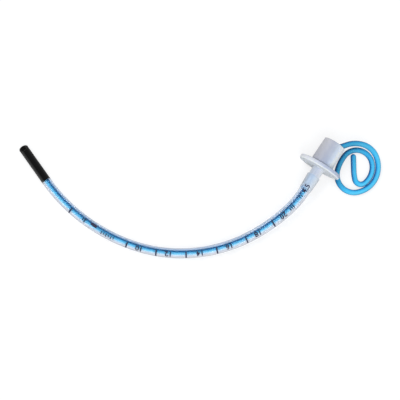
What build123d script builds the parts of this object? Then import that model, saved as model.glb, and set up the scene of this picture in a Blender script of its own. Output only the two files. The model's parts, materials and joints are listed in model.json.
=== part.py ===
from build123d import *
from math import asin, atan2, cos, degrees, hypot, pi, radians, sin, tan
import os

# Small uncuffed endotracheal tube, lying on a table with a bent stylet inside it.
# Millimetres and degrees. The connector's axis points along +Y, the tube curves away
# towards -X, +Z is up and the table is at z = 0.

# Tube: bore, wall at the patient end, and extra wall next to the connector, which tapers off
tube_bore = 4.5
tube_wall = 0.85
near_extra_wall = 0.6

# Tube's centreline from the connector to the patient end
near_straight = 19.8
first_bend_radius, first_bend_angle = 62.2, 14.1
near_bend_radius, near_bend_angle = 116.5, 15.4
middle_bend_radius, middle_bend_angle = 95.9, 47.9
far_bend_radius, far_bend_angle = 118.6, 34.7

# Black patient end: straight, cut off at a slant
tip_length = 29.6
bevel_angle = 50.0
tip_lip_rounding = 0.2

# Stretched end of the tube over the connector's spigot
stretched_wall = 0.78
spigot_clearance = 0.02
neck_down_bore_share = 0.5

# Connector: tapered 15 mm cone with an open mouth
cone_mouth_diameter = 15.2
cone_taper = 1 / 40
cone_length = 16.8
mouth_bore = 13.0
mouth_bore_depth = 11.5
mouth_bore_draft = 0.3
funnel_depth = 4.2
mouth_rounding = 0.4

# Connector: oval flange with two ears, the ear on the coil's side turned up a little
flange_width = 30.3
flange_height = 18.5
flange_turn = 10.0
flange_thickness = 3.0
flange_rounding = 1.1
cone_root_rounding = 0.6

# Connector: neck and the spigot that holds the tube
neck_length = 6.2
neck_diameter = 7.9
spigot_length = 9.8
spigot_diameter = 7.5
spigot_end_diameter = 6.6
spigot_bore = 4.4
spigot_end_chamfer = 0.3
neck_root_rounding = 0.8

# Stylet: blue sleeve on a metal wire, with its inner end short of the tube's opening
sleeve_diameter = 3.7
wire_diameter = 2.2
wire_clearance = 0.02
stylet_setback = 15.0

# Stylet's way out of the mouth: it leans over, then drops to the table in three bends
lean_radius = 20.2
lean_angle = 36.9
lean_side_angle = 17.0
lean_end_depth = 0.0
drop_1_radius, drop_1_share = 18.8, 0.246
drop_2_radius, drop_2_share = 12.9, 0.352
drop_3_radius, drop_3_share = 17.8, 0.402
drop_heading = -92.8

# Stylet's coil on the table, each bend turning clockwise seen from above
coil_1_radius, coil_1_angle = 16.9, 44.4
coil_2_radius, coil_2_angle = 10.7, 49.1
coil_3_radius, coil_3_angle = 11.7, 37.8
coil_4_radius, coil_4_angle = 14.2, 31.5
coil_5_radius, coil_5_angle = 30.4, 18.6
coil_6_radius, coil_6_angle = 9.7, 68.8
coil_7_radius, coil_7_angle = 10.4, 58.6
coil_8_radius, coil_8_angle = 14.5, 65.3
coil_9_radius, coil_9_angle = 4.0, 118.5
coil_10_radius, coil_10_angle = 32.8, 11.0
coil_tail = 9.4

# Worked out from the sizes above
tube_radius = tube_bore / 2 + tube_wall
near_radius = tube_radius + near_extra_wall
tube_bends = [
    (first_bend_radius, first_bend_angle),
    (near_bend_radius, near_bend_angle),
    (middle_bend_radius, middle_bend_angle),
    (far_bend_radius, far_bend_angle),
]
sleeve_radius = sleeve_diameter / 2
wire_radius = wire_diameter / 2
flange_back = -flange_thickness / 2
flange_front = flange_thickness / 2
spigot_top = flange_back - neck_length
spigot_end = spigot_top - spigot_length
mouth_plane = flange_front + cone_length
drop_bends = [
    (drop_1_radius, drop_1_share),
    (drop_2_radius, drop_2_share),
    (drop_3_radius, drop_3_share),
]
coil_bends = [
    (coil_1_radius, coil_1_angle),
    (coil_2_radius, coil_2_angle),
    (coil_3_radius, coil_3_angle),
    (coil_4_radius, coil_4_angle),
    (coil_5_radius, coil_5_angle),
    (coil_6_radius, coil_6_angle),
    (coil_7_radius, coil_7_angle),
    (coil_8_radius, coil_8_angle),
    (coil_9_radius, coil_9_angle),
    (coil_10_radius, coil_10_angle),
]


class Route:
    """A chain of straight runs and tangent arcs, drawn by a moving point with a heading."""

    def __init__(self, point, heading):
        self.point = Vector(point)
        self.heading = Vector(heading).normalized()
        self.edges = []
        self.length = 0.0

    def run(self, length):
        end = self.point + self.heading * length
        self.edges.append(Edge.make_line(self.point, end))
        self.point = end
        self.length += length

    def bend(self, radius, angle, side):
        """Turn towards the unit vector side, which is square to the heading."""
        turn = radians(angle)
        end = self.point + self.heading * (radius * sin(turn)) + side * (radius * (1 - cos(turn)))
        self.edges.append(Edge.make_tangent_arc(self.point, self.heading, end))
        self.heading = (self.heading * cos(turn) + side * sin(turn)).normalized()
        self.point = end
        self.length += radius * turn

    def wire(self):
        return Wire(self.edges)


def flange_drop():
    """From the connector's axis down to the lowest point of the turned flange."""
    turn = radians(flange_turn)
    return hypot(flange_width / 2 * sin(turn), flange_height / 2 * cos(turn))


def resting_tilt():
    """Slope at which the flange's lower edge and the tube's furthest side both touch the table."""
    reach = near_straight
    turned = 0
    for radius, angle in tube_bends:
        reach += radius * (sin(radians(min(90, turned + angle))) - sin(radians(min(90, turned))))
        turned += angle
    along = reach - flange_front + flange_rounding
    across = flange_drop() - flange_rounding
    return degrees(atan2(across, along) + asin((flange_rounding - tube_radius) / hypot(along, across)))


tilt = resting_tilt()
seat_height = (
    (flange_drop() - flange_rounding) * cos(radians(tilt))
    + (flange_front - flange_rounding) * sin(radians(tilt))
    + flange_rounding
)
centre = Vector(0, 0, seat_height)
axis = Vector(0, cos(radians(tilt)), sin(radians(tilt)))
sideways = Vector(1, 0, 0)
above = sideways.cross(axis)
mouth_frame = Plane(origin=centre, x_dir=sideways, z_dir=axis)


def bend_side(heading):
    """The way the tube curves, square to the heading and in the tube's own plane."""
    return heading.cross(above)


def tube_centreline(tail):
    """Centreline from the flange's middle to tail millimetres along the black end."""
    route = Route(centre, axis * -1)
    route.run(near_straight)
    for radius, angle in tube_bends:
        route.bend(radius, angle, bend_side(route.heading))
    if tail:
        route.run(tail)
    return route


def drop(route, along_table):
    """Bend the route, in the plane of both headings, until it runs along the table."""
    normal = route.heading.cross(along_table).normalized()
    whole_turn = route.heading.get_angle(along_table)
    for radius, share in drop_bends:
        route.bend(radius, whole_turn * share, normal.cross(route.heading))


def stylet_way_out():
    """Centreline from the flange's middle out of the mouth, down to the table and round the coil."""
    lean_side = sideways * cos(radians(lean_side_angle)) - above * sin(radians(lean_side_angle))
    route = Route(centre, axis)
    route.run(mouth_plane - lean_end_depth - lean_radius * sin(radians(lean_angle)))
    route.bend(lean_radius, lean_angle, lean_side)
    # The sloping run is as long as leaves the sleeve on the table after the drop
    along_table = Vector(cos(radians(drop_heading)), sin(radians(drop_heading)), 0)
    trial = Route(route.point, route.heading)
    drop(trial, along_table)
    route.run((sleeve_radius - trial.point.Z) / route.heading.Z)
    drop(route, along_table)
    for radius, angle in coil_bends:
        route.bend(radius, angle, route.heading.cross(Vector(0, 0, 1)))
    route.run(coil_tail)
    return route


def ring(outer, inner):
    """Flat ring, or a disc where inner is nothing."""
    face = Circle(outer)
    if inner:
        face -= Circle(inner)
    return face


def along(route, outer, inner=None):
    """A round bar or tube along a route."""
    first = route.edges[0]
    start = Plane(origin=first @ 0, z_dir=first % 0)
    return sweep(start * ring(outer, inner), path=route.wire())


def tapering(edges, first_radius, last_radius):
    """A round bar along tangent edges whose radius changes evenly from end to end."""
    first, last = edges[0], edges[-1]
    start = Plane(origin=first @ 0, z_dir=first % 0)
    end = Plane(origin=last @ 1, z_dir=last % 1)
    rounds = [start * Circle(first_radius), end * Circle(last_radius)]
    return sweep(rounds, path=Wire(edges), multisection=True)


def spigot_radius(z):
    """Outer radius of the spigot's cone at z along the connector's axis."""
    share = (spigot_top - z) / spigot_length
    return (spigot_diameter + (spigot_end_diameter - spigot_diameter) * share) / 2


def turned(points):
    """Solid of revolution about the connector's axis from points given as radius, z."""
    outline = Polyline(*[(r, 0, z) for r, z in points], close=True)
    return revolve(make_face(outline), axis=Axis.Z)


def tube_shaft():
    """Clear tube: stretched over the spigot, necked down, then tapering and curved."""
    inner_top = spigot_radius(spigot_top) + spigot_clearance
    inner_end = spigot_radius(spigot_end) + spigot_clearance
    neck_down = near_straight + spigot_end
    inner_neck_down = neck_down * neck_down_bore_share
    stretched = turned(
        [
            (inner_top, spigot_top),
            (inner_top + stretched_wall, spigot_top),
            (inner_end + stretched_wall, spigot_end),
            (near_radius, -near_straight),
            (tube_bore / 2, -near_straight),
            (tube_bore / 2, spigot_end - inner_neck_down),
            (inner_end, spigot_end),
        ]
    )
    shoulder = stretched.edges().filter_by(GeomType.CIRCLE)
    shoulder = [e for e in shoulder if abs(e.center().Z - spigot_end) < 0.01]
    outer_shoulder = max(shoulder, key=lambda e: e.radius)
    stretched = fillet(outer_shoulder, neck_down)
    route = tube_centreline(0)
    route.edges.pop(0)
    bore = along(route, tube_bore / 2)
    outside = tapering(route.edges[:-1], near_radius, tube_radius)
    curved = outside - bore
    route.edges = route.edges[-1:]
    return mouth_frame * stretched + curved + along(route, tube_radius, tube_bore / 2)


def black_tip():
    """Straight opaque end piece, bevelled so that its opening faces up."""
    start = tube_centreline(0)
    frame = Plane(origin=start.point, x_dir=above, z_dir=start.heading)
    bar = extrude(ring(tube_radius, tube_bore / 2), tip_length)
    half_slant = tube_radius / tan(radians(bevel_angle))
    cut_middle = tip_length - half_slant
    cut = Plane(origin=(0, 0, cut_middle), z_dir=(cos(radians(bevel_angle)), 0, sin(radians(bevel_angle))))
    bar = split(bar, bisect_by=cut, keep=Keep.BOTTOM)
    rims = [e for e in bar.edges() if e.geom_type == GeomType.ELLIPSE]
    return frame * fillet(rims, tip_lip_rounding)


def connector():
    """White moulding: cone, flange with two ears, neck and spigot, with one bore through."""
    mouth_radius = cone_mouth_diameter / 2
    root_radius = mouth_radius + cone_length * cone_taper / 2
    body = turned(
        [
            (0, mouth_plane),
            (mouth_radius, mouth_plane),
            (root_radius, flange_front),
            (root_radius, 0),
            (0, 0),
        ]
    )
    spigot = turned(
        [
            (0, 0),
            (neck_diameter / 2, 0),
            (neck_diameter / 2, flange_back),
            (spigot_diameter / 2, spigot_top),
            (spigot_end_diameter / 2, spigot_end),
            (0, spigot_end),
        ]
    )
    oval = Rot(0, 0, -flange_turn) * Ellipse(flange_width / 2, flange_height / 2)
    flange = extrude(Plane.XY.offset(flange_back) * oval, flange_thickness)
    flange = fillet(flange.edges().filter_by(GeomType.ELLIPSE), flange_rounding)
    whole = body + spigot + flange
    whole = fillet(circles_at(whole, flange_front, root_radius), cone_root_rounding)
    whole = fillet(circles_at(whole, flange_back, neck_diameter / 2), neck_root_rounding)
    whole = fillet(circles_at(whole, mouth_plane, mouth_radius), mouth_rounding)
    bore_floor = mouth_plane - mouth_bore_depth
    hollow = turned(
        [
            (0, mouth_plane),
            (mouth_bore / 2, mouth_plane),
            (mouth_bore / 2 - mouth_bore_draft, bore_floor),
            (spigot_bore / 2, bore_floor - funnel_depth),
            (spigot_bore / 2, spigot_end),
            (0, spigot_end),
        ]
    )
    whole -= hollow
    whole = fillet(circles_at(whole, mouth_plane, mouth_bore / 2), mouth_rounding)
    whole = chamfer(circles_at(whole, spigot_end, spigot_end_diameter / 2), spigot_end_chamfer)
    return mouth_frame * whole


def circles_at(solid, z, radius):
    """The solid's round edges at height z with the given radius."""
    round_edges = solid.edges().filter_by(GeomType.CIRCLE)
    return [e for e in round_edges if abs(e.center().Z - z) < 0.01 and abs(e.radius - radius) < 0.01]


def stylet_halves():
    """The stylet's two routes, both starting at the flange's middle."""
    return tube_centreline(tip_length - stylet_setback), stylet_way_out()


def stylet_sheath():
    """Blue sleeve with a rounded end at each end of the wire."""
    inward, outward = stylet_halves()
    hole = wire_radius + wire_clearance
    sleeve = along(inward, sleeve_radius, hole) + along(outward, sleeve_radius, hole)
    for route in (inward, outward):
        dome = Sphere(sleeve_radius) & Pos(0, 0, sleeve_radius) * Box(*[2 * sleeve_radius] * 3)
        sleeve += Plane(origin=route.point, z_dir=route.heading) * dome
    return sleeve


def stylet_core():
    """Metal wire that fills the sleeve from one rounded end to the other."""
    inward, outward = stylet_halves()
    return along(inward, wire_radius) + along(outward, wire_radius)


def main():
    parts = {
        "tube_shaft": tube_shaft(),
        "black_tip": black_tip(),
        "connector": connector(),
        "stylet_sheath": stylet_sheath(),
        "stylet_core": stylet_core(),
    }
    boxes = [shape.bounding_box() for shape in parts.values()]
    whole = boxes[0]
    for box in boxes[1:]:
        whole = whole.add(box)
    to_origin = Pos(-whole.center().X, -whole.center().Y, 0)
    os.makedirs("parts", exist_ok=True)
    for name, shape in parts.items():
        export_step(to_origin * shape, f"parts/{name}.step")
    print("tilt", round(tilt, 2), "seat height", round(seat_height, 3))
    print("moved by", to_origin.position, "size", whole.size, "lowest point", round(whole.min.Z, 4))


main()
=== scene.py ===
import json
from math import cos, radians, sin

import bmesh
import bpy
from mathutils import Matrix, Vector


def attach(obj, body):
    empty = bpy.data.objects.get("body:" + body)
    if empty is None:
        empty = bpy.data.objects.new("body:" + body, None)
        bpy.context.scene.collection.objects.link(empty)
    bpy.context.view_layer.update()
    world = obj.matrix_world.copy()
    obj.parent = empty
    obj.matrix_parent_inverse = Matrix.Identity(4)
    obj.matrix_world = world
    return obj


# Small uncuffed endotracheal tube with a stylet: its looks, its print, the studio and the photograph's
# camera. Values are in millimetres and degrees of the row's frame, and MM turns them into Blender's metres.

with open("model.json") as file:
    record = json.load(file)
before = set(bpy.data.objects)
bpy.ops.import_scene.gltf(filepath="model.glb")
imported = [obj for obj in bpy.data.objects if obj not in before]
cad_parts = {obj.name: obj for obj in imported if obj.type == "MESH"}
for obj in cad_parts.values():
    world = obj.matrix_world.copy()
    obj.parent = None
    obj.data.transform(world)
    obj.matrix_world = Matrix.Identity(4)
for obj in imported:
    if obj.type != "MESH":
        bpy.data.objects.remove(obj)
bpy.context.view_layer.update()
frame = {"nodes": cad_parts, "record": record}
nodes = frame["nodes"]
mounts = {mount["name"]: mount for mount in frame["record"]["mounts"]}
scene = bpy.context.scene
MM = 0.001
UP = Vector((0, 0, 1))

# Sizes from the record's mounts
AXIS = Vector(mounts["machine_end"]["axis"]).normalized()
MOUTH_CENTRE = Vector(mounts["machine_end"]["pos_m"]) / MM
CONE_LENGTH = mounts["machine_end"]["dims"]["length_mm"]
TUBE_RADIUS = mounts["patient_end"]["dims"]["r_mm"]
TIP_LENGTH = mounts["patient_end"]["dims"]["length_mm"]

# Sizes that the record doesn't give, as the part's source has them. A bend is a radius and an angle.
FLANGE_THICKNESS = 3.0
SPIGOT_END = 17.5
NEAR_STRAIGHT = 19.8
NEAR_RADIUS = 3.7
BENDS = ((62.2, 14.1), (116.5, 15.4), (95.9, 47.9), (118.6, 34.7))

# The tube's skin where it is stretched: its radius at the spigot's end, and how fast it widens from there
STRETCHED_RADIUS = 4.13
STRETCHED_SLOPE = 0.046

# Places along the connector's axis, from the flange's middle
FLANGE_FRONT = FLANGE_THICKNESS / 2
FLANGE_BACK = -FLANGE_FRONT
MOUTH_PLANE = FLANGE_FRONT + CONE_LENGTH

FLANGE_CENTRE = MOUTH_CENTRE - AXIS * MOUTH_PLANE
TAPER_END = NEAR_STRAIGHT + sum(radius * radians(angle) for radius, angle in BENDS[:3])
SIDEWAYS = Vector((1, 0, 0))
ABOVE = SIDEWAYS.cross(AXIS)


def tube_place(s):
    """Point, heading towards the patient end and outer side of the curve, s millimetres from the flange."""
    point = FLANGE_CENTRE.copy()
    heading = -AXIS
    left = s
    runs = [(None, NEAR_STRAIGHT)]
    runs += [(radius, radius * radians(angle)) for radius, angle in BENDS]
    runs += [(None, TIP_LENGTH)]
    for radius, length in runs:
        step = min(left, length)
        inner = heading.cross(ABOVE)
        if radius is None:
            point = point + heading * step
        else:
            turn = step / radius
            point = point + heading * (radius * sin(turn)) + inner * (radius * (1 - cos(turn)))
            heading = (heading * cos(turn) + inner * sin(turn)).normalized()
        left -= step
        if left <= 0:
            break
    return point, heading, -heading.cross(ABOVE)


def tube_radius(s):
    """Outer radius of the tube: wide over the spigot, then tapered to the end of the third bend."""
    if s < NEAR_STRAIGHT:
        spread = min(1.0, (NEAR_STRAIGHT - s) / (NEAR_STRAIGHT - SPIGOT_END))
        over_spigot = max(0.0, SPIGOT_END - s) * STRETCHED_SLOPE
        return NEAR_RADIUS + (STRETCHED_RADIUS - NEAR_RADIUS) * spread + over_spigot
    share = min(1.0, (s - NEAR_STRAIGHT) / (TAPER_END - NEAR_STRAIGHT))
    return NEAR_RADIUS + (TUBE_RADIUS - NEAR_RADIUS) * share


def circle_centre(a, b, c):
    """Middle of the circle through three points, seen from above and at the table's level."""
    rows = Matrix((b.xy - a.xy, c.xy - a.xy))
    squares = [p.xy.length_squared for p in (a, b, c)]
    halves = Vector((squares[1] - squares[0], squares[2] - squares[0])) / 2
    return (rows.inverted() @ halves).to_3d()


# Middle of the tube's whole curve, from three places along it
CURVE_PLACES = (25, 120, 215)
CURVE_LEVEL = 4.0
CURVE_CENTRE = circle_centre(*(tube_place(s)[0] for s in CURVE_PLACES)) + UP * CURVE_LEVEL

# Camera: PHOTO is the photograph's width in pixels, FLANGE_PIXEL is where the flange's middle shows in it
PHOTO = 400
MM_PER_PIXEL = 0.656
FLANGE_PIXEL = (319.9, 166.7)
CAMERA_ELEVATION = radians(75)
CAMERA_DISTANCE = 1500.0
SENSOR_WIDTH = 36
CLIP_METRES = (0.01, 20)
IMAGE_RIGHT = Vector((0.8396, 0.5432, 0)).normalized()
LEVEL_LOOK = UP.cross(IMAGE_RIGHT)
LOOK = LEVEL_LOOK * cos(CAMERA_ELEVATION) - UP * sin(CAMERA_ELEVATION)
IMAGE_UP = IMAGE_RIGHT.cross(LOOK)
PICTURE_CENTRE = (
    FLANGE_CENTRE
    - IMAGE_RIGHT * (FLANGE_PIXEL[0] - PHOTO / 2) * MM_PER_PIXEL
    + IMAGE_UP * (FLANGE_PIXEL[1] - PHOTO / 2) * MM_PER_PIXEL
)

camera_data = bpy.data.cameras.new("camera")
camera_data.sensor_width = SENSOR_WIDTH
camera_data.lens = SENSOR_WIDTH * CAMERA_DISTANCE / (PHOTO * MM_PER_PIXEL)
camera_data.clip_start, camera_data.clip_end = CLIP_METRES
camera = bpy.data.objects.new("camera", camera_data)
scene.collection.objects.link(camera)
camera_place = (PICTURE_CENTRE - LOOK * CAMERA_DISTANCE) * MM
camera_axes = Matrix((IMAGE_RIGHT, IMAGE_UP, -LOOK)).transposed().to_4x4()
camera.matrix_world = Matrix.Translation(camera_place) @ camera_axes
scene.camera = camera

# Directions that the materials follow. The lamp shines from the upper left of the camera's view, so
# translucent plastic glows on its lower right; the materials paint that glow, and the shade opposite it, into
# their colours.
PAINTED_GLOW_SIDE = (IMAGE_RIGHT - LEVEL_LOOK * 0.9).normalized()
TOP_SIDE = UP - LEVEL_LOOK * 0.2
CURVE_DIP = Vector((0, 0, -0.2))
COIL_DISTANCE = 24.5
COIL_MIDDLE = FLANGE_CENTRE + IMAGE_RIGHT * COIL_DISTANCE


# Node helpers. A value is a node's output, or a fixed number, colour or vector.


def put(tree, value, socket):
    """Link an output to the socket, or set the socket's fixed value."""
    if isinstance(value, bpy.types.NodeSocket):
        tree.links.new(value, socket)
    elif socket.type == "RGBA":
        socket.default_value = (*value, 1.0)
    else:
        socket.default_value = value


def maths(tree, operation, a, b):
    node = tree.nodes.new("ShaderNodeMath")
    node.operation = operation
    put(tree, a, node.inputs[0])
    put(tree, b, node.inputs[1])
    return node.outputs["Value"]


def vectors(tree, operation, a, b=None):
    node = tree.nodes.new("ShaderNodeVectorMath")
    node.operation = operation
    put(tree, a, node.inputs[0])
    if b is not None:
        put(tree, b, node.inputs[1])
    return node.outputs["Value" if operation == "DOT_PRODUCT" else "Vector"]


def rescale(tree, value, start, end, low=0.0, high=1.0):
    """low to high as the value goes from start to end, held at both ends."""
    node = tree.nodes.new("ShaderNodeMapRange")
    put(tree, value, node.inputs["Value"])
    put(tree, start, node.inputs["From Min"])
    put(tree, end, node.inputs["From Max"])
    put(tree, low, node.inputs["To Min"])
    put(tree, high, node.inputs["To Max"])
    return node.outputs["Result"]


def place(tree):
    """The shaded point in the row's frame, in metres."""
    return tree.nodes.new("ShaderNodeTexCoord").outputs["Object"]


def normal(tree):
    return tree.nodes.new("ShaderNodeNewGeometry").outputs["Normal"]


def noise(tree, scale, detail, low=0.0, high=1.0):
    """Noise from low to high, with its scale in features per millimetre."""
    node = tree.nodes.new("ShaderNodeTexNoise")
    put(tree, place(tree), node.inputs["Vector"])
    put(tree, scale / MM, node.inputs["Scale"])
    put(tree, detail, node.inputs["Detail"])
    return rescale(tree, node.outputs["Fac"], 0.0, 1.0, low, high)


def bump(tree, height, strength, depth):
    node = tree.nodes.new("ShaderNodeBump")
    put(tree, height, node.inputs["Height"])
    put(tree, strength, node.inputs["Strength"])
    put(tree, depth * MM, node.inputs["Distance"])
    return node.outputs["Normal"]


def facing(tree, direction):
    """0 to 1: how far the surface turns towards a fixed direction."""
    return rescale(tree, vectors(tree, "DOT_PRODUCT", normal(tree), direction.normalized()), -1.0, 1.0)


def outward(tree):
    """0 on the hollow side of the tube's curve, 1 on its far side."""
    away = vectors(tree, "SUBTRACT", place(tree), CURVE_CENTRE * MM)
    dipped = vectors(tree, "ADD", vectors(tree, "NORMALIZE", away), CURVE_DIP)
    return rescale(tree, vectors(tree, "DOT_PRODUCT", dipped, normal(tree)), -1.0, 1.0)


def along(tree, direction, origin, start, end, low=0.0, high=1.0):
    """low to high as the place along a direction goes from start to end past the origin."""
    zero = origin.dot(direction)
    where = vectors(tree, "DOT_PRODUCT", place(tree), direction)
    return rescale(tree, where, (zero + start) * MM, (zero + end) * MM, low, high)


def along_axis(tree, start, end, low=0.0, high=1.0):
    """low to high as the place along the connector's axis goes from start to end."""
    return along(tree, AXIS, FLANGE_CENTRE, start, end, low, high)


def ramp(tree, value, stops):
    """Colour ramp whose stops are a place from 0 to 1 and a colour, or a grey as one number."""
    node = tree.nodes.new("ShaderNodeValToRGB")
    elements = node.color_ramp.elements
    while len(elements) < len(stops):
        elements.new(0.5)
    for element, (position, colour) in zip(elements, stops):
        element.position = position
        element.color = (*colour, 1.0) if isinstance(colour, tuple) else (colour, colour, colour, 1.0)
    put(tree, value, node.inputs["Fac"])
    return node.outputs["Color"]


def mix_colour(tree, factor, a, b, blend="MIX"):
    node = tree.nodes.new("ShaderNodeMix")
    node.data_type = "RGBA"
    node.blend_type = blend
    put(tree, factor, node.inputs["Factor"])
    put(tree, a, node.inputs["A"])
    put(tree, b, node.inputs["B"])
    return node.outputs["Result"]


def srgb(r, g, b):
    """Linear colour from the photograph's 0 to 255 scale."""
    def one(c):
        c /= 255
        return c / 12.92 if c <= 0.04045 else ((c + 0.055) / 1.055) ** 2.4
    return (one(r), one(g), one(b))


def new_material(name):
    """A material without nodes, its tree and the socket for its shader."""
    material = bpy.data.materials.new(name)
    material.use_nodes = True
    tree = material.node_tree
    tree.nodes.clear()
    return material, tree, tree.nodes.new("ShaderNodeOutputMaterial").inputs["Surface"]


def principled(tree, colour, roughness, settings):
    """Principled shader's node. The settings are fixed values of its own sockets, by name."""
    node = tree.nodes.new("ShaderNodeBsdfPrincipled")
    put(tree, colour, node.inputs["Base Color"])
    put(tree, roughness, node.inputs["Roughness"])
    for name, value in settings.items():
        put(tree, value, node.inputs[name])
    return node


def mix_shaders(tree, factor, a, b):
    node = tree.nodes.new("ShaderNodeMixShader")
    put(tree, factor, node.inputs[0])
    put(tree, a.outputs[0], node.inputs[1])
    put(tree, b.outputs[0], node.inputs[2])
    return node


def clear_to_lamps(tree, shader, tint):
    """The shader as it is seen, but lamp light passes with a tint, so that the shadow is faint."""
    clear = tree.nodes.new("ShaderNodeBsdfTransparent")
    put(tree, tint, clear.inputs["Color"])
    rays = tree.nodes.new("ShaderNodeLightPath")
    return mix_shaders(tree, rays.outputs["Is Shadow Ray"], shader, clear)


def clear_vinyl():
    """Clear tube: glassy along its middle and milky at both sides, where one looks through more wall; the
    milky colour is painted light, with painted shade on the curve's hollow side and a painted glow on its far
    side.
    """
    material, tree, surface = new_material("clear_vinyl")
    clouded = mix_colour(tree, noise(tree, 0.06, 3.0, 0.0, 0.4), srgb(243, 247, 252), srgb(250, 252, 254))
    # The index is lower than vinyl's own, which gives so thin a wall dark edges
    glassy = principled(
        tree,
        clouded,
        noise(tree, 0.35, 4.0, 0.01, 0.04),
        {"Transmission Weight": 1.0, "IOR": 1.12, "Specular IOR Level": 0.3},
    )

    # Painted light: seen from above, the haze goes from lavender and blue painted shade on the hollow side to
    # a white painted glow on the far side
    side = outward(tree)
    painted_light_haze = ramp(
        tree,
        side,
        (
            (0.05, srgb(214, 226, 244)),
            (0.13, srgb(180, 216, 255)),
            (0.20, srgb(112, 184, 240)),
            (0.60, srgb(190, 222, 244)),
            (0.78, srgb(222, 236, 246)),
            (0.88, srgb(214, 217, 226)),
            (0.97, srgb(222, 222, 226)),
        ),
    )
    # How much of the milky layer, and of its painted light, shows across the tube
    painted_haze_amount = ramp(
        tree,
        side,
        (
            (0.00, 0.26),
            (0.05, 0.42),
            (0.10, 0.62),
            (0.16, 0.26),
            (0.22, 0.02),
            (0.68, 0.04),
            (0.78, 0.30),
            (0.86, 0.84),
            (0.93, 0.80),
            (1.00, 0.50),
        ),
    )
    over_spigot = along_axis(tree, -SPIGOT_END - 2.0, -SPIGOT_END + 1.2, 0.0, 0.82)
    # Painted light over the spigot: blue-grey in the middle, paler towards the painted glow
    stretched = ramp(
        tree,
        facing(tree, PAINTED_GLOW_SIDE),
        ((0.1, srgb(196, 202, 208)), (0.5, srgb(180, 196, 218)), (0.9, srgb(224, 232, 238))),
    )
    milky = principled(
        tree, mix_colour(tree, over_spigot, painted_light_haze, stretched), noise(tree, 0.5, 4.0, 0.3, 0.5), {}
    )
    body = mix_shaders(tree, maths(tree, "MAXIMUM", painted_haze_amount, over_spigot), glassy, milky)
    put(tree, clear_to_lamps(tree, body, (0.88, 0.90, 0.94)).outputs[0], surface)
    return material


def black_vinyl():
    """Opaque black tip with a painted soft grey highlight along both sides of the curve and a faintly grained
    skin.
    """
    material, tree, surface = new_material("black_vinyl")
    # Painted highlight: grey towards both sides of the curve, near black along the middle
    painted_sheen = ramp(
        tree,
        outward(tree),
        (
            (0.05, srgb(48, 48, 48)),
            (0.22, srgb(26, 26, 27)),
            (0.40, srgb(8, 8, 9)),
            (0.62, srgb(10, 10, 11)),
            (0.80, srgb(60, 60, 60)),
            (0.95, srgb(90, 90, 90)),
        ),
    )
    mottled = mix_colour(tree, noise(tree, 0.8, 5.0, 0.0, 0.3), painted_sheen, srgb(14, 14, 15))
    vinyl = principled(tree, mottled, noise(tree, 1.6, 6.0, 0.4, 0.6), {"Specular IOR Level": 0.06})
    put(tree, bump(tree, noise(tree, 2.2, 6.0), 0.25, 0.03), vinyl.inputs["Normal"])
    put(tree, vinyl.outputs[0], surface)
    return material


def cone_painted_light(tree, side):
    """Painted light on the cone: lavender painted shade on its shaded side, a white painted glow on its
    glowing side, and lighter towards its mouth.
    """
    root = ramp(
        tree,
        side,
        (
            (0.03, srgb(188, 190, 200)),
            (0.30, srgb(176, 180, 194)),
            (0.50, srgb(166, 174, 194)),
            (0.68, srgb(174, 186, 208)),
            (0.82, srgb(208, 222, 242)),
            (0.93, srgb(250, 255, 255)),
        ),
    )
    mouth = ramp(
        tree,
        side,
        (
            (0.03, srgb(208, 209, 214)),
            (0.30, srgb(192, 194, 203)),
            (0.50, srgb(178, 183, 198)),
            (0.68, srgb(184, 194, 210)),
            (0.82, srgb(214, 226, 240)),
            (0.93, srgb(250, 255, 255)),
        ),
    )
    return mix_colour(tree, along_axis(tree, FLANGE_FRONT, MOUTH_PLANE), root, mouth)


def flange_with_painted_light(tree):
    """The flange's edge is greyer on the coil's side, and its back is painted light: nearly white, though it
    faces away from the lamps.
    """
    aside = along(tree, SIDEWAYS, FLANGE_CENTRE, 4.0, -10.0)
    edge = mix_colour(tree, aside, srgb(180, 191, 212), srgb(226, 229, 236))
    # Painted light: the back face is made nearly white
    back = rescale(tree, facing(tree, -AXIS), 0.55, 0.9)
    return mix_colour(tree, back, edge, srgb(246, 252, 255))


def neck_painted_light(tree, side):
    """Painted light on the neck: blue-grey along its middle and a white painted glow on its glowing side."""
    return ramp(
        tree,
        side,
        (
            (0.05, srgb(206, 214, 224)),
            (0.45, srgb(184, 195, 213)),
            (0.75, srgb(204, 210, 224)),
            (0.95, srgb(236, 240, 246)),
        ),
    )


def white_moulding():
    """Semi-opaque white connector, its colour painted with light and shade, with painted shade in the crease
    where the cone meets the flange.
    """
    material, tree, surface = new_material("white_moulding")
    side = facing(tree, PAINTED_GLOW_SIDE)
    past_face = along_axis(tree, FLANGE_FRONT - 0.3, FLANGE_FRONT + 0.5)
    past_crease = along_axis(tree, FLANGE_FRONT, FLANGE_FRONT + 0.9)
    past_back = along_axis(tree, FLANGE_BACK - 0.7, FLANGE_BACK + 0.3)
    upper = mix_colour(tree, past_face, flange_with_painted_light(tree), cone_painted_light(tree, side))
    # Painted shade: the cone darkened to grey-blue where it meets the flange, fading within a millimetre
    crease = mix_colour(tree, past_crease, srgb(150, 160, 178), (1.0, 1.0, 1.0))
    creased = mix_colour(tree, past_face, upper, crease, "MULTIPLY")
    whole = mix_colour(tree, past_back, neck_painted_light(tree, side), creased)
    mottled = mix_colour(tree, noise(tree, 0.25, 3.0, 0.0, 0.10), whole, srgb(232, 228, 226))
    plastic = principled(
        tree,
        mottled,
        noise(tree, 0.9, 4.0, 0.42, 0.58),
        {
            "Specular IOR Level": 0.35,
            "Subsurface Weight": 0.3,
            "Subsurface Radius": (1.0, 1.0, 1.15),
            "Subsurface Scale": 1.2 * MM,
        },
    )
    put(tree, bump(tree, noise(tree, 1.1, 4.0), 0.12, 0.03), plastic.inputs["Normal"])
    put(tree, plastic.outputs[0], surface)
    return material


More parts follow.
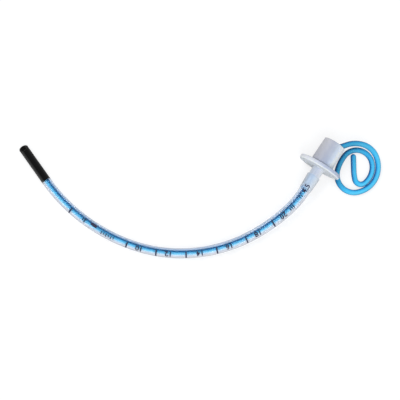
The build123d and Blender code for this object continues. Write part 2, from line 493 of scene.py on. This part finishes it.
def coiled_painted_light(tree):
    """The sleeve in the open, in painted light: a painted glow on its lower right, and painted shade over the
    coil's upper left.
    """
    # Painted glow: bright cyan on faces turned to the lower right, dark blue on faces turned away
    glow = ramp(
        tree,
        facing(tree, PAINTED_GLOW_SIDE),
        (
            (0.08, srgb(0, 72, 142)),
            (0.26, srgb(24, 124, 188)),
            (0.50, srgb(66, 192, 246)),
            (0.74, srgb(90, 208, 248)),
            (0.97, srgb(84, 184, 230)),
        ),
    )
    # Painted shade, deepest over the coil's upper left
    lit = along(tree, PAINTED_GLOW_SIDE, COIL_MIDDLE, -12.0, 5.0)
    shade = mix_colour(tree, lit, (0.48, 0.62, 0.68), (1.0, 1.0, 1.0))
    return mix_colour(tree, 1.0, glow, shade, "MULTIPLY")


def inside_painted_light(tree):
    """Painted light on the sleeve inside the tube: a dark painted shade line on the hollow side of the curve,
    and a pale painted glow on its far side.
    """
    return ramp(
        tree,
        outward(tree),
        (
            (0.05, srgb(16, 106, 154)),
            (0.28, srgb(0, 78, 126)),
            (0.46, srgb(50, 144, 184)),
            (0.62, srgb(84, 166, 200)),
            (0.90, srgb(154, 206, 226)),
        ),
    )


def blue_sleeve():
    """Translucent blue sleeve with painted light in its colour, and painted shade where its surface turns
    away from the top.
    """
    material, tree, surface = new_material("blue_sleeve")
    outside = along(tree, SIDEWAYS, FLANGE_CENTRE, 2.4, 2.8)
    # The tint is painted light: one pattern inside the tube, another on the coil in the open
    tint = mix_colour(tree, outside, inside_painted_light(tree), coiled_painted_light(tree))
    # Painted shade: darker where the surface turns away from the top
    painted_rim_shade = ramp(
        tree,
        facing(tree, TOP_SIDE),
        ((0.50, (0.08, 0.28, 0.46)), (0.68, (0.48, 0.72, 0.86)), (0.83, (1.0, 1.0, 1.0))),
    )
    with_painted_rim_shade = mix_colour(tree, 1.0, tint, painted_rim_shade, "MULTIPLY")
    streaked = mix_colour(tree, noise(tree, 0.5, 4.0, 0.0, 0.07), with_painted_rim_shade, srgb(150, 222, 248))
    sleeve = principled(
        tree,
        streaked,
        noise(tree, 0.8, 4.0, 0.16, 0.3),
        {"Transmission Weight": 0.05, "Specular IOR Level": 0.1, "IOR": 1.46},
    )
    put(tree, clear_to_lamps(tree, sleeve, (0.50, 0.78, 0.93)).outputs[0], surface)
    return material


def drawn_wire():
    """Bare soft metal with an uneven, dull shine."""
    material, tree, surface = new_material("drawn_wire")
    metal = ramp(tree, noise(tree, 1.5, 6.0), ((0.3, (0.62, 0.63, 0.65)), (0.7, (0.78, 0.79, 0.80))))
    wire = principled(tree, metal, noise(tree, 2.5, 6.0, 0.25, 0.42), {"Metallic": 1.0})
    put(tree, wire.outputs[0], surface)
    return material


def print_ink():
    """Blue-black ink, uneven in colour and gloss."""
    material, tree, surface = new_material("print_ink")
    blue_black = ramp(tree, noise(tree, 2.0, 5.0), ((0.35, srgb(8, 12, 44)), (0.75, srgb(26, 32, 86))))
    ink = principled(tree, blue_black, noise(tree, 3.0, 4.0, 0.38, 0.6), {})
    put(tree, ink.outputs[0], surface)
    return material


def dress(node, material):
    """Put the material in each of a CAD node's slots."""
    slots = nodes[node].data.materials
    if not slots:
        slots.append(material)
    for i in range(len(slots)):
        slots[i] = material


dress("tube_shaft", clear_vinyl())
dress("black_tip", black_vinyl())
dress("connector", white_moulding())
dress("stylet_sheath", blue_sleeve())
dress("stylet_core", drawn_wire())

# Print: its under side and upper side above the tube's skin, and the size of the cuts that let it bend
INK = print_ink()
INK_LOW, INK_HIGH = 0.006, 0.03
INK_STEP = 0.35
SAME_PLACE = 1e-5


def wrapped(s, across, lift):
    """Point on the tube's skin: s along it, across in arc length from its top towards the curve's outside."""
    point, _, outer = tube_place(s)
    radius = tube_radius(s)
    angle = across / radius
    return (point + (ABOVE * cos(angle) + outer * sin(angle)) * (radius + lift)) * MM


def cut_up(flat):
    """Cut a flat bmesh into small squares and triangles, so that it can follow the tube."""
    for axis in (0, 1):
        values = [v.co[axis] for v in flat.verts]
        direction = Vector((0, 0, 0))
        direction[axis] = 1
        cut = min(values) + INK_STEP
        while cut < max(values):
            geom = flat.verts[:] + flat.edges[:] + flat.faces[:]
            bmesh.ops.bisect_plane(
                flat, geom=geom, plane_co=direction * cut, plane_no=direction, dist=SAME_PLACE
            )
            cut += INK_STEP
    bmesh.ops.remove_doubles(flat, verts=flat.verts[:], dist=SAME_PLACE)
    bmesh.ops.triangulate(flat, faces=flat.faces[:])


def ink_piece(name, flat):
    """A closed skin of ink from a flat bmesh whose x is along the tube and y across it."""
    cut_up(flat)
    flat.normal_update()
    made = bmesh.ops.extrude_face_region(flat, geom=flat.faces[:])
    upper = set(g for g in made["geom"] if isinstance(g, bmesh.types.BMVert))
    for v in flat.verts:
        v.co = wrapped(v.co.x, v.co.y, INK_HIGH if v in upper else INK_LOW)
    bmesh.ops.recalc_face_normals(flat, faces=flat.faces[:])
    mesh = bpy.data.meshes.new(name)
    flat.to_mesh(mesh)
    flat.free()
    mesh.materials.append(INK)
    piece = bpy.data.objects.new(name, mesh)
    scene.collection.objects.link(piece)
    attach(piece, "root")


def bar(name, start, end, low, high):
    """Printed bar from start to end along the tube and from low to high across it."""
    flat = bmesh.new()
    corners = ((start, low), (end, low), (end, high), (start, high))
    flat.faces.new([flat.verts.new((x, y, 0)) for x, y in corners])
    ink_piece(name, flat)


# Lettering: the font's size for a digit 1 high, and how much its strokes are thickened
FONT_SIZE = 1.38
STROKE_SPREAD = 0.028
TOWARDS_TIP, TOWARDS_CONNECTOR = 1, -1


def number(name, text, s, across, height, reads):
    """Plain number centred at s, which reads towards the tip or towards the connector."""
    curve = bpy.data.curves.new(name, "FONT")
    curve.body = text
    curve.align_x = "CENTER"
    curve.align_y = "CENTER"
    curve.size = height * FONT_SIZE
    curve.resolution_u = 3
    curve.offset = height * STROKE_SPREAD
    holder = bpy.data.objects.new(name + "_text", curve)
    scene.collection.objects.link(holder)
    bpy.context.view_layer.update()
    mesh = holder.evaluated_get(bpy.context.evaluated_depsgraph_get()).to_mesh()
    flat = bmesh.new()
    flat.from_mesh(mesh)
    bpy.data.objects.remove(holder)
    bpy.data.curves.remove(curve)
    for v in flat.verts:
        v.co = Vector((s + v.co.x * reads, across + v.co.y * reads, 0))
    ink_piece(name, flat)


# Depth marks where the photograph shows them, as distances from the flange
TICKS = (49.3, 69.6, 89.8, 109.9, 129.3, 149.1, 192.4)
TICK_HALF_WIDTH = 0.48
TICK_LOW, TICK_HIGH = -0.4, 4.4
for i, s in enumerate(TICKS):
    bar(f"depth_tick_{i + 1}", s - TICK_HALF_WIDTH, s + TICK_HALF_WIDTH, TICK_LOW, TICK_HIGH)

DIGIT_HEIGHT = 3.6
DEPTH_ACROSS = 1.3
SIZE_PLACE, SIZE_ACROSS = 18.0, 0.7
DEPTHS = ((41.0, "20"), (61.2, "18"), (81.4, "16"), (100.8, "14"), (121.3, "12"), (140.6, "10"))
for s, text in DEPTHS:
    number(f"depth_number_{text}", text, s, DEPTH_ACROSS, DIGIT_HEIGHT, TOWARDS_TIP)
number("size_number", "4.5", SIZE_PLACE, SIZE_ACROSS, DIGIT_HEIGHT, TOWARDS_CONNECTOR)

# Plain bars in place of letters and small print: start, end, low side and high side
BARS = {
    "short_bar_12": (23.2, 23.7, -0.6, 1.9),
    "short_bar_13": (24.8, 25.3, -0.6, 1.9),
    "short_bar_1": (31.8, 32.4, -0.2, 2.6),
    "short_bar_2": (33.2, 33.8, -0.2, 2.6),
    "short_bar_3": (34.6, 35.2, -0.2, 2.6),
    "wide_bar": (171.7, 176.2, -1.2, 0.7),
    "short_bar_4": (180.4, 181.1, -0.6, 2.2),
    "short_bar_5": (182.0, 182.7, -0.6, 1.4),
}
for name, sides in BARS.items():
    bar(name, *sides)

# A row of such bars, in turn short and long
ROW_START, ROW_STEP, ROW_FIRST_NUMBER = 158.3, 1.75, 6
ROW_BAR_WIDTH, ROW_LOW, ROW_HIGHS = 0.6, 0.2, (2.0, 2.6)
for i in range(6):
    start = ROW_START + i * ROW_STEP
    bar(f"short_bar_{ROW_FIRST_NUMBER + i}", start, start + ROW_BAR_WIDTH, ROW_LOW, ROW_HIGHS[i % 2])

# Studio, in metres. The floor's glow shows to the camera, in reflections and through clear plastic,
# and lights nothing.
FLOOR_HALF = 6.0
FLOOR_DROP = 0.00005
FLOOR_GLOW = 0.69
WORLD_STRENGTH = 0.55
BACKDROP_STRENGTH = 1.0


def seen_rays(tree, *names):
    """1 for rays of the named kinds, 0 for all others."""
    rays = tree.nodes.new("ShaderNodeLightPath")
    seen = rays.outputs[names[0]]
    for name in names[1:]:
        seen = maths(tree, "MAXIMUM", seen, rays.outputs[name])
    return seen


def studio_floor():
    """Pale floor that takes shadows and shows nearly white."""
    material, tree, surface = new_material("studio_floor")
    lit = tree.nodes.new("ShaderNodeBsdfDiffuse")
    put(tree, (0.34, 0.342, 0.346), lit.inputs["Color"])
    glow = tree.nodes.new("ShaderNodeEmission")
    put(tree, (1.0, 1.0, 1.0), glow.inputs["Color"])
    seen = seen_rays(tree, "Is Camera Ray", "Is Glossy Ray", "Is Transmission Ray")
    put(tree, maths(tree, "MULTIPLY", seen, FLOOR_GLOW), glow.inputs["Strength"])
    both = tree.nodes.new("ShaderNodeAddShader")
    put(tree, lit.outputs[0], both.inputs[0])
    put(tree, glow.outputs[0], both.inputs[1])
    put(tree, both.outputs[0], surface)
    return material


def studio_world():
    """Soft cool light all round, with a brighter grey where the camera sees it or sees through to it."""
    world = bpy.data.worlds.new("studio")
    world.use_nodes = True
    tree = world.node_tree
    tree.nodes.clear()
    dim = tree.nodes.new("ShaderNodeBackground")
    put(tree, (0.97, 0.98, 1.0), dim.inputs["Color"])
    put(tree, WORLD_STRENGTH, dim.inputs["Strength"])
    backdrop = tree.nodes.new("ShaderNodeBackground")
    put(tree, (0.8, 0.8, 0.8), backdrop.inputs["Color"])
    put(tree, BACKDROP_STRENGTH, backdrop.inputs["Strength"])
    seen = seen_rays(tree, "Is Camera Ray", "Is Transmission Ray")
    out = tree.nodes.new("ShaderNodeOutputWorld")
    put(tree, mix_shaders(tree, seen, dim, backdrop).outputs[0], out.inputs["Surface"])
    return world


def lamp(name, direction, distance, size, power):
    """Round lamp that shines at the picture's centre from a direction, with its sizes in metres."""
    data = bpy.data.lights.new(name, "AREA")
    data.shape = "DISK"
    data.size = size
    data.energy = power
    light = bpy.data.objects.new(name, data)
    scene.collection.objects.link(light)
    light.location = PICTURE_CENTRE * MM + direction.normalized() * distance
    light.rotation_euler = (-direction).to_track_quat("-Z", "Y").to_euler()


floor_mesh = bpy.data.meshes.new("floor")
floor_corners = [(x * FLOOR_HALF, y * FLOOR_HALF, 0) for x, y in ((-1, -1), (1, -1), (1, 1), (-1, 1))]
floor_mesh.from_pydata(floor_corners, [], [(0, 1, 2, 3)])
floor_mesh.materials.append(studio_floor())
floor = bpy.data.objects.new("floor", floor_mesh)
floor.location.z = -FLOOR_DROP
scene.collection.objects.link(floor)

scene.world = studio_world()
lamp("key", -IMAGE_RIGHT * 0.55 + LEVEL_LOOK * 0.5 + UP * 1.25, distance=1.6, size=0.7, power=8.0)
lamp("fill", IMAGE_RIGHT * 0.3 - LEVEL_LOOK * 1.0 + UP * 1.1, distance=1.8, size=1.4, power=14.0)
scene.view_settings.view_transform = "Standard"
